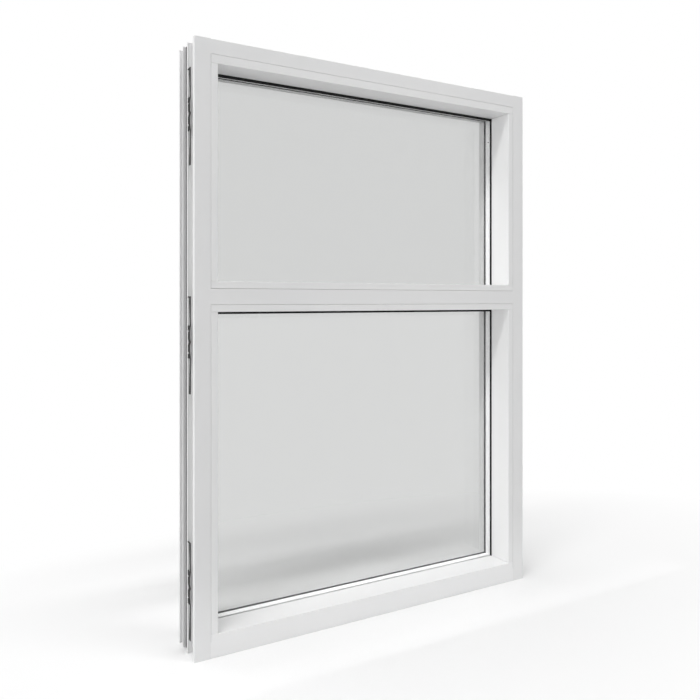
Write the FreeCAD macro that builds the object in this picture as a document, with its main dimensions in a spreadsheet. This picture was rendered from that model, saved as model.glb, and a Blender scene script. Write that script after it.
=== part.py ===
import FreeCAD, Part
import os
import re
import Sketcher

# A fixed aluminium picture window with a small upper light and a large lower light.
# X runs along the width, Y from the front face to the back, Z up.
# The origin is the middle of the underside of the frame.
# Every length is in millimetres.

doc = FreeCAD.newDocument("picture_window")

# Driving dimensions: name, value and what it measures on the window.
SIZES = [
    ("window_width", 1000, "outside width over the jambs"),
    ("window_height", 1425, "outside height over sill and head"),
    ("frame_depth", 136, "front face to back face"),
    ("transom_centre", 832, "height of the middle of the transom"),
    ("jamb_fixed_face", 39, "jamb face outside its bead"),
    ("head_fixed_face", 34.5, "head face above its bead"),
    ("sill_fixed_face", 37, "sill face below its bead"),
    ("transom_fixed_face", 37, "transom face between its beads"),
    ("bead_face", 17, "face of every glazing bead but the head's"),
    ("head_bead_face", 20.5, "face of the bead under the head"),
    ("flange_depth", 24, "flange behind the glass, to the back face"),
    ("back_lip", 19, "frame behind the last of its outer fins"),
    ("bead_gap", 0.5, "open joint beside a bead"),
    ("butt_gap", 0.3, "open joint between an upright bead and a level one"),
    ("profile_wall", 2, "wall of the aluminium sections"),
    ("bead_wall", 1.6, "wall of the beads"),
    ("bead_radius", 0.8, "rounding of the beads' front edges"),
    ("nose_radius", 1.5, "rounding of the frame's outer front edge"),
    ("nose_depth", 12, "depth of the nose behind the front face"),
    ("front_shell_depth", 58, "front face to the insulating bar"),
    ("bar_length", 26, "insulating bar from shell to shell"),
    ("bar_inset", 2, "insulating bar set in from the shell's sides"),
    ("bar_rise", 7, "insulating bar brought out into the channel between the fins"),
    ("bar_wall", 2.2, "wall of the insulating bar"),
    ("channel_depth", 12, "depth of the channels in the frame's outside"),
    ("fin_thickness", 3, "thickness of a fin between two channels"),
    ("fin_lip_reach", 2.5, "lip in front of a fin, along its outer edge"),
    ("fin_lip_wall", 1.5, "wall of that lip"),
    ("middle_fin_setback", 5, "front of the anchors' fin to the insulating bar"),
    ("rear_fin_setback", 1, "insulating bar to the front of the fin behind it"),
    ("front_gasket", 3.5, "thickness of the gasket before the glass"),
    ("rear_gasket", 3, "thickness of the gasket behind the glass"),
    ("gasket_cover", 6, "gasket held under the bead"),
    ("gasket_lip", 1.4, "gasket showing past the bead"),
    ("gasket_top_lip", 6.5, "front gasket showing under the top of a light"),
    ("gasket_foot_drop", 1.4, "front gasket held below the foot of a light"),
    ("rear_gasket_lip", 2.6, "rear gasket showing past the flange at foot and sides"),
    ("foot_lip_wall", 1.2, "lip of a bottom bead over its gasket"),
    ("foot_lip_gap", 0.25, "open joint between that lip and the glass"),
    ("foot_lip_play", 0.2, "gap between that lip and the gasket beside it"),
    ("pane_thickness", 6, "one sheet of glass"),
    ("cavity", 20, "space between the two sheets"),
    ("glass_bite", 12, "glass hidden behind the bead"),
    ("spacer_width", 13, "spacer and edge seal, from the glass edge"),
    ("block_length", 100, "setting block under the glass"),
    ("block_inset", 150, "glass edge to the setting block"),
    ("anchor_upper_arm", 73, "middle of the anchor's upper claw to its top"),
    ("anchor_lower_arm", 87, "middle of the anchor's lower claw to its foot"),
    ("anchor_overhang", 19.5, "anchor's near edge to the lip of its fin"),
    ("anchor_thickness", 1.5, "sheet of the strap anchor"),
    ("anchor_tip_width", 10, "anchor arm at its free end"),
    ("anchor_tab", 3, "height of the tab that steadies the upper arm on the lip"),
    ("anchor_neck_width", 3, "anchor arm where it meets its claw"),
    ("anchor_bow", 7, "how far the strap steps back from its peak to its leaves"),
    ("anchor_bow_width", 10, "strap between the claws"),
    ("anchor_peak_half", 8, "middle of the strap's peak to the leaf beside it"),
    ("anchor_notch", 5, "notch between a claw and the strap"),
    ("anchor_hole_width", 4.5, "fixing hole across"),
    ("anchor_hole_side", 2, "fixing hole from the arm's near edge"),
    ("anchor_hole_inset", 16, "middle of the fixing hole from the arm's free end"),
    ("claw_spacing", 66, "between the middles of an anchor's two claws"),
    ("claw_length", 10, "claw that hooks behind the lip"),
    ("claw_gap", 0.2, "play between claw and lip"),
    ("lower_anchor_rise", 157, "underside of the frame to the middle between the lower anchors' claws"),
    ("middle_anchor_drop", 105.5, "the same between the middle anchors' claws, below the transom's middle"),
    ("upper_anchor_drop", 169, "the same between the upper anchors' claws, down from the top"),
]

sheet = doc.addObject("Spreadsheet::Sheet", "Sizes")
for row, (size_name, number, meaning) in enumerate(SIZES, start=1):
    sheet.set(f"A{row}", meaning)
    sheet.set(f"B{row}", str(number))
    sheet.setAlias(f"B{row}", size_name)
doc.recompute()

# Distances from the front face that follow from the driving dimensions.
FLANGE_FRONT = "(frame_depth - flange_depth)"
GLASS_BACK = f"({FLANGE_FRONT} - rear_gasket)"
REAR_PANE_FRONT = f"({GLASS_BACK} - pane_thickness)"
GLASS_FRONT = f"({REAR_PANE_FRONT} - cavity - pane_thickness)"
BEAD_DEPTH = f"({GLASS_FRONT} - front_gasket)"
FOOT_LIP_BACK = f"({GLASS_FRONT} - foot_lip_gap)"
REAR_SHELL_FRONT = "(front_shell_depth + bar_length)"
MIDDLE_FIN_FRONT = "(front_shell_depth - middle_fin_setback)"
MIDDLE_FIN_BACK = f"({MIDDLE_FIN_FRONT} + fin_thickness)"
REAR_FIN_FRONT = f"({REAR_SHELL_FRONT} + rear_fin_setback)"
REAR_FIN_BACK = f"({REAR_FIN_FRONT} + fin_thickness)"
LAST_FIN_BACK = "(frame_depth - back_lip)"
LAST_FIN_FRONT = f"({LAST_FIN_BACK} - fin_thickness)"

# Sight lines: where the glass starts to show beside each member.
JAMB_SIGHT = "(jamb_fixed_face + bead_face)"
HEAD_SIGHT = "(window_height - head_fixed_face - head_bead_face)"
SILL_SIGHT = "(sill_fixed_face + bead_face)"
TRANSOM_HALF = "(transom_fixed_face / 2 + bead_face)"
TRANSOM_TOP = f"(transom_centre + {TRANSOM_HALF})"
TRANSOM_FOOT = f"(transom_centre - {TRANSOM_HALF})"

# Turns that bring a section drawn as (inwards, backwards) to its place.
UPRIGHT = FreeCAD.Rotation()
UPRIGHT_MIRRORED = FreeCAD.Rotation(FreeCAD.Vector(0, 1, 0), 180)
HANGING = FreeCAD.Rotation(FreeCAD.Vector(0, 1, 0), 90)
LYING = FreeCAD.Rotation(FreeCAD.Vector(0, 1, 0), -90)
FACING_BACK = FreeCAD.Rotation(FreeCAD.Vector(1, 0, 0), 90)
ON_LEFT_SIDE = FreeCAD.Rotation(FreeCAD.Vector(1, 1, 1), 120)
ON_RIGHT_SIDE = UPRIGHT_MIRRORED * ON_LEFT_SIDE

# Rough places in which a sketch starts before the sizes pull it into shape.
SKETCH_START_CENTRE = 300
SKETCH_START_RADIUS = 100
SKETCH_START_HOLE = 5

pieces = []


def formula(text):
    """Turn names of sizes into references to the sheet's cells."""
    return re.sub(r"[a-z][a-z_]*", lambda found: f"Sizes.{found.group(0)}", text)


def origin_plane(body):
    """The body's own horizontal plane."""
    return next(f for f in body.Origin.OriginFeatures if f.Role == "XY_Plane")


def tie(sketch, kind, edge, point, text):
    """Hold a point of an edge at a distance given by the sizes, or on an axis where that is 0."""
    if text == "0":
        # A sketch knows its own axes as edge -2, the upright one, and edge -1, the level one
        axis = -2 if kind == "DistanceX" else -1
        sketch.addConstraint(Sketcher.Constraint("PointOnObject", edge, point, axis))
        return
    position = sketch.getPoint(edge, point)
    distance = position.x if kind == "DistanceX" else position.y
    number = sketch.addConstraint(Sketcher.Constraint(kind, -1, 1, edge, point, distance))
    sketch.setExpression(f"Constraints[{number}]", formula(text))


def draw(sketch, corners):
    """Draw one closed outline of straight edges through named corners."""
    first = sketch.GeometryCount
    count = len(corners)
    middle = FreeCAD.Vector(SKETCH_START_CENTRE, SKETCH_START_CENTRE, 0)
    spoke = FreeCAD.Vector(SKETCH_START_RADIUS, 0, 0)
    upward = FreeCAD.Vector(0, 0, 1)
    rough = [middle + FreeCAD.Rotation(upward, 360 * i / count).multVec(spoke) for i in range(count)]
    for i in range(count):
        sketch.addGeometry(Part.LineSegment(rough[i], rough[(i + 1) % count]), False)
    for i in range(count):
        sketch.addConstraint(Sketcher.Constraint("Coincident", first + i, 2, first + (i + 1) % count, 1))
    # Point 1 of an edge is its start
    for i, (across, along) in enumerate(corners):
        tie(sketch, "DistanceX", first + i, 1, across)
        tie(sketch, "DistanceY", first + i, 1, along)


def draw_hole(sketch, across, along, width):
    """Draw a round hole about a named centre."""
    middle = FreeCAD.Vector(SKETCH_START_CENTRE, SKETCH_START_CENTRE, 0)
    circle = Part.Circle(middle, FreeCAD.Vector(0, 0, 1), SKETCH_START_HOLE)
    number = sketch.addGeometry(circle, False)
    # Point 3 of a circle is its centre
    tie(sketch, "DistanceX", number, 3, across)
    tie(sketch, "DistanceY", number, 3, along)
    width_tie = sketch.addConstraint(Sketcher.Constraint("Diameter", number, 2 * SKETCH_START_HOLE))
    sketch.setExpression(f"Constraints[{width_tie}]", formula(width))


def rectangle(left, low, right, high):
    """Corners of a rectangle."""
    return [(left, low), (right, low), (right, high), (left, high)]


def add_pad(body, name, outlines, length, start="0", holes=()):
    """Extrude outlines from a plane of the body: an outline or hole inside another is cut out."""
    sketch = body.newObject("Sketcher::SketchObject", f"{name}_section")
    sketch.AttachmentSupport = [(origin_plane(body), "")]
    sketch.MapMode = "FlatFace"
    sketch.setExpression("AttachmentOffset.Base.z", formula(start))
    for corners in outlines:
        draw(sketch, corners)
    for across, along, width in holes:
        draw_hole(sketch, across, along, width)
    pad = body.newObject("PartDesign::Pad", f"{name}_pad")
    pad.Profile = sketch
    pad.setExpression("Length", formula(length))
    doc.recompute()
    return pad


def round_front_edges(body, pad, radius, which):
    """Round the long front edges of an extrusion: its near one, its far one or both."""
    tolerance = 0.001
    found = []
    for number, edge in enumerate(pad.Shape.Edges, start=1):
        start, end = (corner.Point for corner in edge.Vertexes)
        on_front = max(abs(start.y), abs(end.y)) < tolerance
        runs_along = abs(start.x - end.x) < tolerance and abs(start.z - end.z) > tolerance
        if on_front and runs_along:
            found.append((start.x, f"Edge{number}"))
    found.sort()
    ends = {"near": found[:1], "far": found[-1:], "both": found}
    fillet = body.newObject("PartDesign::Fillet", f"{body.Name}_rounding")
    fillet.Base = (pad, [edge_name for _, edge_name in ends[which]])
    fillet.setExpression("Radius", formula(radius))
    doc.recompute()


def place(piece, base, turn):
    """Put a piece at a point given by the sizes."""
    piece.Placement = FreeCAD.Placement(FreeCAD.Vector(), turn)
    for axis, text in zip("xyz", base):
        piece.setExpression(f"Placement.Base.{axis}", formula(text))


def new_body(name, base, turn):
    """A named piece with its own origin, kept for the export."""
    body = doc.addObject("PartDesign::Body", name)
    body.Label = name
    place(body, base, turn)
    pieces.append(body)
    return body


# Sections of the perimeter frame, drawn from its outside inwards and from the front backwards


def lipped_fin(front, back):
    """Fin between two channels, from its back round its outer edge and its lip to its front."""
    return [
        ("channel_depth", back),
        ("0", back),
        ("0", f"{front} - fin_lip_reach"),
        ("fin_lip_wall", f"{front} - fin_lip_reach"),
        ("fin_lip_wall", front),
        ("channel_depth", front),
    ]


def front_shell(fixed):
    """Front extrusion: one hollow with a nose and the fin that carries the anchors."""
    outside = [
        ("0", "0"),
        (fixed, "0"),
        (fixed, "front_shell_depth"),
        ("channel_depth", "front_shell_depth"),
        *lipped_fin(MIDDLE_FIN_FRONT, MIDDLE_FIN_BACK),
        ("channel_depth", "nose_depth"),
        ("0", "nose_depth"),
    ]
    hollow = [
        ("profile_wall", "profile_wall"),
        (f"{fixed} - profile_wall", "profile_wall"),
        (f"{fixed} - profile_wall", "front_shell_depth - profile_wall"),
        ("channel_depth + profile_wall", "front_shell_depth - profile_wall"),
        ("channel_depth + profile_wall", "nose_depth - profile_wall"),
        ("profile_wall", "nose_depth - profile_wall"),
    ]
    return [outside, hollow]


def insulating_bar(near, far):
    """Hollow plastic bar that joins the front and the rear extrusion."""
    return [
        rectangle(f"{near} + bar_inset", "front_shell_depth", f"{far} - bar_inset", REAR_SHELL_FRONT),
        rectangle(
            f"{near} + bar_inset + bar_wall",
            "front_shell_depth + bar_wall",
            f"{far} - bar_inset - bar_wall",
            f"{REAR_SHELL_FRONT} - bar_wall",
        ),
    ]


def rear_shell(fixed):
    """Rear extrusion without its glazing flange: one hollow and two fins."""
    outside = [
        ("channel_depth", REAR_SHELL_FRONT),
        (fixed, REAR_SHELL_FRONT),
        (fixed, "frame_depth"),
        ("channel_depth", "frame_depth"),
        *lipped_fin(LAST_FIN_FRONT, LAST_FIN_BACK),
        ("channel_depth", REAR_FIN_BACK),
        ("0", REAR_FIN_BACK),
        ("0", REAR_FIN_FRONT),
        ("channel_depth", REAR_FIN_FRONT),
    ]
    hollow = rectangle(
        "channel_depth + profile_wall",
        f"{REAR_SHELL_FRONT} + profile_wall",
        f"{fixed} - profile_wall",
        "frame_depth - profile_wall",
    )
    return [outside, hollow]


def glazing_flange(fixed, bead):
    """Flange of the rear extrusion that the glass leans on."""
    tip = f"{fixed} + {bead}"
    return [
        [
            (fixed, FLANGE_FRONT),
            (tip, FLANGE_FRONT),
            (tip, "frame_depth"),
            (fixed, "frame_depth"),
            (fixed, "frame_depth - profile_wall"),
            (f"{tip} - profile_wall", "frame_depth - profile_wall"),
            (f"{tip} - profile_wall", f"{FLANGE_FRONT} + profile_wall"),
            (fixed, f"{FLANGE_FRONT} + profile_wall"),
        ]
    ]


FRONT = "-frame_depth / 2"
LEFT = "-window_width / 2"
RIGHT = "window_width / 2"
CLEAR_WIDTH = "window_width - 2 * jamb_fixed_face"
SIGHT_WIDTH = f"window_width - 2 * {JAMB_SIGHT}"


def perimeter_member(name, fixed, bead, base, turn, length, flange_start, flange_end):
    """Front extrusion, insulating bar and rear extrusion of one side of the frame.

    Its flange stops short of both ends, by the widths of the members that it meets there.
    """
    front = new_body(f"{name}_front", base, turn)
    shell = add_pad(front, f"{name}_front", front_shell(fixed), length)
    round_front_edges(front, shell, "nose_radius", "near")
    bar = new_body(f"{name}_insulating_bar", base, turn)
    bar_tube = insulating_bar("(channel_depth - bar_rise)", fixed)
    add_pad(bar, f"{name}_insulating_bar", bar_tube, length)
    rear = new_body(f"{name}_rear", base, turn)
    add_pad(rear, f"{name}_rear_shell", rear_shell(fixed), length)
    flange_length = f"{length} - {flange_start} - {flange_end}"
    add_pad(rear, f"{name}_rear_flange", glazing_flange(fixed, bead), flange_length, flange_start)


# The jambs run the full height, and the head and sill stand between them
perimeter_member(
    "left_jamb",
    "jamb_fixed_face",
    "bead_face",
    (LEFT, FRONT, "0"),
    UPRIGHT,
    "window_height",
    "sill_fixed_face",
    "head_fixed_face",
)
perimeter_member(
    "right_jamb",
    "jamb_fixed_face",
    "bead_face",
    (RIGHT, FRONT, "window_height"),
    UPRIGHT_MIRRORED,
    "window_height",
    "head_fixed_face",
    "sill_fixed_face",
)
perimeter_member(
    "head",
    "head_fixed_face",
    "head_bead_face",
    (f"{LEFT} + jamb_fixed_face", FRONT, "window_height"),
    HANGING,
    CLEAR_WIDTH,
    "bead_face",
    "bead_face",
)
perimeter_member(
    "sill",
    "sill_fixed_face",
    "bead_face",
    (f"{RIGHT} - jamb_fixed_face", FRONT, "0"),
    LYING,
    CLEAR_WIDTH,
    "bead_face",
    "bead_face",
)

# The transom is drawn upwards from its lower sight line
TRANSOM_LOW = "bead_face"
TRANSOM_HIGH = "(bead_face + transom_fixed_face)"
transom_base = (f"{RIGHT} - jamb_fixed_face", FRONT, TRANSOM_FOOT)

transom_front = new_body("transom_front", transom_base, LYING)
transom_tube = [
    rectangle(TRANSOM_LOW, "0", TRANSOM_HIGH, "front_shell_depth"),
    rectangle(
        f"{TRANSOM_LOW} + profile_wall",
        "profile_wall",
        f"{TRANSOM_HIGH} - profile_wall",
        "front_shell_depth - profile_wall",
    ),
]
add_pad(transom_front, "transom_front", transom_tube, CLEAR_WIDTH)

transom_bar = new_body("transom_insulating_bar", transom_base, LYING)
add_pad(transom_bar, "transom_insulating_bar", insulating_bar(TRANSOM_LOW, TRANSOM_HIGH), CLEAR_WIDTH)

transom_rear = new_body("transom_rear", transom_base, LYING)
transom_stem = [
    [
        (TRANSOM_LOW, FLANGE_FRONT),
        (TRANSOM_LOW, REAR_SHELL_FRONT),
        (TRANSOM_HIGH, REAR_SHELL_FRONT),
        (TRANSOM_HIGH, FLANGE_FRONT),
        (f"{TRANSOM_HIGH} - profile_wall", FLANGE_FRONT),
        (f"{TRANSOM_HIGH} - profile_wall", f"{REAR_SHELL_FRONT} + profile_wall"),
        (f"{TRANSOM_LOW} + profile_wall", f"{REAR_SHELL_FRONT} + profile_wall"),
        (f"{TRANSOM_LOW} + profile_wall", FLANGE_FRONT),
    ]
]
transom_flange = [
    rectangle("0", FLANGE_FRONT, f"{TRANSOM_HIGH} + bead_face", "frame_depth"),
    rectangle(
        "profile_wall",
        f"{FLANGE_FRONT} + profile_wall",
        f"{TRANSOM_HIGH} + bead_face - profile_wall",
        "frame_depth - profile_wall",
    ),
]
add_pad(transom_rear, "transom_rear_stem", transom_stem, CLEAR_WIDTH)
add_pad(transom_rear, "transom_rear_flange", transom_flange, SIGHT_WIDTH, "bead_face")

# Glazing beads: thin tubes that fill the rebate in front of the glass


def add_bead(name, base, turn, length, face="bead_face", joint="bead_gap"):
    """One bead, drawn from the fixed face inwards, beside an open joint or none."""
    body = new_body(name, base, turn)
    tube = [
        rectangle(joint, "0", face, BEAD_DEPTH),
        rectangle(f"{joint} + bead_wall", "bead_wall", f"{face} - bead_wall", f"{BEAD_DEPTH} - bead_wall"),
    ]
    pad = add_pad(body, name, tube, length)
    round_front_edges(body, pad, "bead_radius", "far" if joint == "0" else "both")
    return body


def add_foot_lip(body, length):
    """Lip at the back of a bottom bead, over its gasket and between the gasket's sides."""
    start = "(bead_face - bead_gap + gasket_lip + foot_lip_play)"
    lip = rectangle("bead_face - foot_lip_wall", f"{BEAD_DEPTH} - bead_wall", "bead_face", FOOT_LIP_BACK)
    add_pad(body, f"{body.Name}_lip", [lip], f"{length} - 2 * {start}", start)


def add_beads(light, sight_foot, sight_top, foot_joint, top_face):
    """Four beads of one light: the level ones run through, the upright ones stand between."""
    level_length = f"{CLEAR_WIDTH} - 2 * bead_gap"
    foot_base = (f"{RIGHT} - jamb_fixed_face - bead_gap", FRONT, f"{sight_foot} - bead_face")
    bottom = add_bead(f"{light}_bead_bottom", foot_base, LYING, level_length, joint=foot_joint)
    add_foot_lip(bottom, level_length)
    top_base = (f"{LEFT} + jamb_fixed_face + bead_gap", FRONT, f"{sight_top} + {top_face}")
    add_bead(f"{light}_bead_top", top_base, HANGING, level_length, face=top_face)
    upright_length = f"{sight_top} - {sight_foot} - 2 * butt_gap"
    left_base = (f"{LEFT} + jamb_fixed_face", FRONT, f"{sight_foot} + butt_gap")
    add_bead(f"{light}_bead_left", left_base, UPRIGHT, upright_length)
    right_base = (f"{RIGHT} - jamb_fixed_face", FRONT, f"{sight_top} - butt_gap")
    add_bead(f"{light}_bead_right", right_base, UPRIGHT_MIRRORED, upright_length)


add_beads("upper", TRANSOM_TOP, HEAD_SIGHT, "bead_gap", "head_bead_face")
add_beads("lower", SILL_SIGHT, TRANSOM_FOOT, "0", "bead_face")

# Double glazing: two sheets, the spacer between them, and a gasket on each side


def add_ring(name, sight_foot, sight_top, outwards, inwards, back, thickness, foot="", top=""):
    """A flat ring round one light, between two distances from the sight line.

    Its foot and its top may reach another distance inwards than its sides.
    """
    body = new_body(name, (LEFT, f"{FRONT} + {back}", "0"), FACING_BACK)
    ring = [
        rectangle(
            f"{JAMB_SIGHT} - {outwards}",
            f"{sight_foot} - {outwards}",
            f"window_width - {JAMB_SIGHT} + {outwards}",
            f"{sight_top} + {outwards}",
        ),
        rectangle(
            f"{JAMB_SIGHT} + {inwards}",
            f"{sight_foot} + {foot or inwards}",
            f"window_width - {JAMB_SIGHT} - {inwards}",
            f"{sight_top} - {top or inwards}",
        ),
    ]
    add_pad(body, name, ring, thickness)


def add_pane(name, sight_foot, sight_top, front):
    """One sheet of glass, held all round behind the beads."""
    pane = doc.addObject("Part::Box", name)
    pane.Label = name
    pane.setExpression("Length", formula(f"{SIGHT_WIDTH} + 2 * glass_bite"))
    pane.setExpression("Width", formula("pane_thickness"))
    pane.setExpression("Height", formula(f"{sight_top} - {sight_foot} + 2 * glass_bite"))
    base = (f"{LEFT} + {JAMB_SIGHT} - glass_bite", f"{FRONT} + {front}", f"{sight_foot} - glass_bite")
    place(pane, base, UPRIGHT)
    pieces.append(pane)


def add_setting_blocks(light, sight_foot):
    """Two blocks that carry the glass on the member below it."""
    blocks = []
    for side, near_end in (
        ("left", f"{LEFT} + {JAMB_SIGHT} - glass_bite + block_inset"),
        ("right", f"{RIGHT} - {JAMB_SIGHT} + glass_bite - block_inset - block_length"),
    ):
        block = doc.addObject("Part::Box", f"{light}_{side}_block")
        block.setExpression("Length", formula("block_length"))
        block.setExpression("Width", formula(f"{GLASS_BACK} - {GLASS_FRONT}"))
        block.setExpression("Height", formula("bead_face - glass_bite"))
        place(block, (near_end, f"{FRONT} + {GLASS_FRONT}", f"{sight_foot} - bead_face"), UPRIGHT)
        blocks.append(block)
    pair = doc.addObject("Part::Compound", f"{light}_setting_blocks")
    pair.Label = f"{light}_setting_blocks"
    pair.Links = blocks
    pieces.append(pair)


def add_glazing(light, sight_foot, sight_top):
    """Everything that fills one light."""
    add_ring(
        f"{light}_front_gasket",
        sight_foot,
        sight_top,
        "gasket_cover",
        "gasket_lip",
        GLASS_FRONT,
        "front_gasket",
        foot="(-gasket_foot_drop)",
        top="gasket_top_lip",
    )
    add_pane(f"{light}_front_pane", sight_foot, sight_top, GLASS_FRONT)
    spacer_inside = "(spacer_width - glass_bite)"
    add_ring(
        f"{light}_spacer", sight_foot, sight_top, "glass_bite", spacer_inside, REAR_PANE_FRONT, "cavity"
    )
    add_pane(f"{light}_rear_pane", sight_foot, sight_top, REAR_PANE_FRONT)
    add_ring(
        f"{light}_rear_gasket",
        sight_foot,
        sight_top,
        "gasket_cover",
        "rear_gasket_lip",
        FLANGE_FRONT,
        "rear_gasket",
        top="gasket_lip",
    )
    add_setting_blocks(light, sight_foot)


add_glazing("upper", TRANSOM_TOP, HEAD_SIGHT)
add_glazing("lower", SILL_SIGHT, TRANSOM_FOOT)

# Strap anchors: two claws hooked behind the lip of the jamb's fin, a bowed strap between them,
# and a tapered arm beyond each

ANCHOR_BACK = "(anchor_overhang - claw_gap)"
CLAW_BACK = "(anchor_overhang + fin_lip_reach - claw_gap)"
CLAW_FLOOR = "(fin_lip_wall + claw_gap)"


def claw_spans(first_arm):
    """Start and end of both claws along an anchor that begins with the given arm."""
    middles = (first_arm, f"{first_arm} + claw_spacing")
    return [[f"({middle} {side} claw_length / 2)" for side in "-+"] for middle in middles]


def anchor_sheet(first_arm, last_arm):
    """Sheet outline, drawn from the near edge backwards and along the length."""
    (arm_end, bow_start), (bow_end, far_arm_start) = claw_spans(first_arm)
    middle = f"({first_arm} + claw_spacing / 2)"
    leaf_start, leaf_end = f"({bow_start} + anchor_notch)", f"({bow_end} - anchor_notch)"
    peak_start, peak_end = f"({middle} - anchor_peak_half)", f"({middle} + anchor_peak_half)"
    link_back, leaf_back = "anchor_bow + anchor_neck_width", "anchor_bow + anchor_bow_width"
    length = f"{first_arm} + claw_spacing + {last_arm}"
    return [
        ("0", "0"),
        ("anchor_tip_width", "0"),
        ("anchor_neck_width", arm_end),
        (ANCHOR_BACK, arm_end),
        (ANCHOR_BACK, bow_start),
        (link_back, bow_start),
        (link_back, leaf_start),
        (leaf_back, leaf_start),
        (leaf_back, peak_start),
        ("anchor_bow_width", middle),
        (leaf_back, peak_end),
        (leaf_back, leaf_end),
        (link_back, leaf_end),
        (link_back, bow_end),
        (ANCHOR_BACK, bow_end),
        (ANCHOR_BACK, far_arm_start),
        ("anchor_neck_width", far_arm_start),
        ("anchor_tip_width", length),
        ("0", length),
        ("0", far_arm_start),
        ("anchor_bow", leaf_end),
        ("anchor_bow", peak_end),
        ("0", middle),
        ("anchor_bow", peak_start),
        ("anchor_bow", leaf_start),
        ("0", arm_end),
    ]


def add_anchor(name, base, turn, first_arm, last_arm, tab_start):
    """One strap anchor with the claws that hook behind the lip of the fin."""
    body = new_body(name, base, turn)
    hole_across = "anchor_hole_side + anchor_hole_width / 2"
    far_hole = f"{first_arm} + claw_spacing + {last_arm} - anchor_hole_inset"
    holes = [(hole_across, along, "anchor_hole_width") for along in ("anchor_hole_inset", far_hole)]
    add_pad(body, f"{name}_sheet", [anchor_sheet(first_arm, last_arm)], "anchor_thickness", holes=holes)
    tab = rectangle("0", tab_start, ANCHOR_BACK, f"{tab_start} + anchor_tab")
    add_pad(body, f"{name}_tab", [tab], "anchor_thickness")
    spans = claw_spans(first_arm)
    walls = [rectangle(f"{ANCHOR_BACK} - anchor_thickness", start, ANCHOR_BACK, end) for start, end in spans]
    add_pad(body, f"{name}_claw_walls", walls, f"{CLAW_FLOOR} + anchor_thickness")
    hooks = [rectangle(f"{ANCHOR_BACK} - anchor_thickness", start, CLAW_BACK, end) for start, end in spans]
    add_pad(body, f"{name}_claw_hooks", hooks, "anchor_thickness", CLAW_FLOOR)


ANCHOR_HEIGHTS = (
    ("lower", "lower_anchor_rise"),
    ("middle", "(transom_centre - middle_anchor_drop)"),
    ("upper", "(window_height - upper_anchor_drop)"),
)
LEFT_TAB = "(anchor_lower_arm + claw_spacing + anchor_upper_arm - anchor_tab)"
for level, height in ANCHOR_HEIGHTS:
    anchor_near = f"{FRONT} + {MIDDLE_FIN_FRONT} - fin_lip_reach - anchor_overhang"
    left_foot = (LEFT, anchor_near, f"{height} - claw_spacing / 2 - anchor_lower_arm")
    left_name, right_name = f"left_{level}_anchor", f"right_{level}_anchor"
    add_anchor(left_name, left_foot, ON_LEFT_SIDE, "anchor_lower_arm", "anchor_upper_arm", LEFT_TAB)
    right_top = (RIGHT, anchor_near, f"{height} + claw_spacing / 2 + anchor_upper_arm")
    add_anchor(right_name, right_top, ON_RIGHT_SIDE, "anchor_upper_arm", "anchor_lower_arm", "0")

doc.recompute()

# Every object and every piece is tested before anything is written
for thing in doc.Objects:
    if "Invalid" in thing.State or "Error" in thing.State:
        raise RuntimeError(f"{thing.Name} failed: {thing.State}")
for piece in pieces:
    if piece.Shape.isNull() or not piece.Shape.isValid():
        raise RuntimeError(f"{piece.Label} has no valid shape")

os.makedirs("parts", exist_ok=True)
for piece in pieces:
    piece.Shape.exportStep(f"parts/{piece.Label}.step")
    print(piece.Label, len(piece.Shape.Solids), round(piece.Shape.Volume))
print(len(pieces), "pieces")
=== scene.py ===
# %% [markdown]
# # A fixed picture window, dressed and lit
#
# The imported model of the window is the fixed frame of this scene. It holds every section, bead,
# pane and anchor at its real size and place. We keep those shapes, give each one its finish, and
# rebuild only the pieces whose real section is finer than a plain solid: the gaskets and the bars
# that hold the two sheets of glass apart.
#
# X runs along the width, Y from the front to the back, Z up. Every length is in metres.

import math

import bmesh
import bpy
from mathutils import Matrix, Vector


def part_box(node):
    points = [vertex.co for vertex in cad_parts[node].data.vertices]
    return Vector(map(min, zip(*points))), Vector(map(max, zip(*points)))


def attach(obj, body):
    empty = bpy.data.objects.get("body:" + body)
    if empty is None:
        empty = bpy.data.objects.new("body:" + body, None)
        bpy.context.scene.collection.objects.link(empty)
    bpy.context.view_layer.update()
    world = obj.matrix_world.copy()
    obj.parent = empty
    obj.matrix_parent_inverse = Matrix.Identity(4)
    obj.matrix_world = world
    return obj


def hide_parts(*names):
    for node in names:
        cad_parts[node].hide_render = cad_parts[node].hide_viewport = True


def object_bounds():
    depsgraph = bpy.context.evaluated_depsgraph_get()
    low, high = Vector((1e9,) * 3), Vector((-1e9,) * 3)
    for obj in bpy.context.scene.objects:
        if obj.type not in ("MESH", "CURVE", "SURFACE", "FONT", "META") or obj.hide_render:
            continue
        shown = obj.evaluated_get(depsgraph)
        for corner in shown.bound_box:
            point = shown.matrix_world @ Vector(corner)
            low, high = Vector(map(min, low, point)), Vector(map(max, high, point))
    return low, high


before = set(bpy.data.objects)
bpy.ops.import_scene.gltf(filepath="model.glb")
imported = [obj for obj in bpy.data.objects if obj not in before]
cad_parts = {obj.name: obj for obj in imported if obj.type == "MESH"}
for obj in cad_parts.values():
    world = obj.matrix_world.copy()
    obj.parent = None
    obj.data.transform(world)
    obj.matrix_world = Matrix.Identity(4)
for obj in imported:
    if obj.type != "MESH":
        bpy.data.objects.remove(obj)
cad_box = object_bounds()
MM = 0.001

cad_low, cad_high = cad_box
print("window:", [round((high - low) / MM, 1) for low, high in zip(cad_low, cad_high)], "mm")

# %% [markdown]
# ## The camera
#
# A photographer who wants upright edges to stay upright keeps the camera level and shifts the
# lens instead of tilting it. We do the same: the camera looks along the floor, 30 degrees to the
# right of straight ahead, and its frame is shifted downwards. Turning a camera by hand until the
# picture looks right would also work, but the edges of a tall frame would then lean.

# %% Camera
CAMERA_PLACE = (-1.0136, -1.6584, 0.8233)
CAMERA_TURN = math.radians(-30.09)
# An unturned camera looks straight down, and a quarter turn makes it level
LEVEL = math.radians(90)
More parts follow.
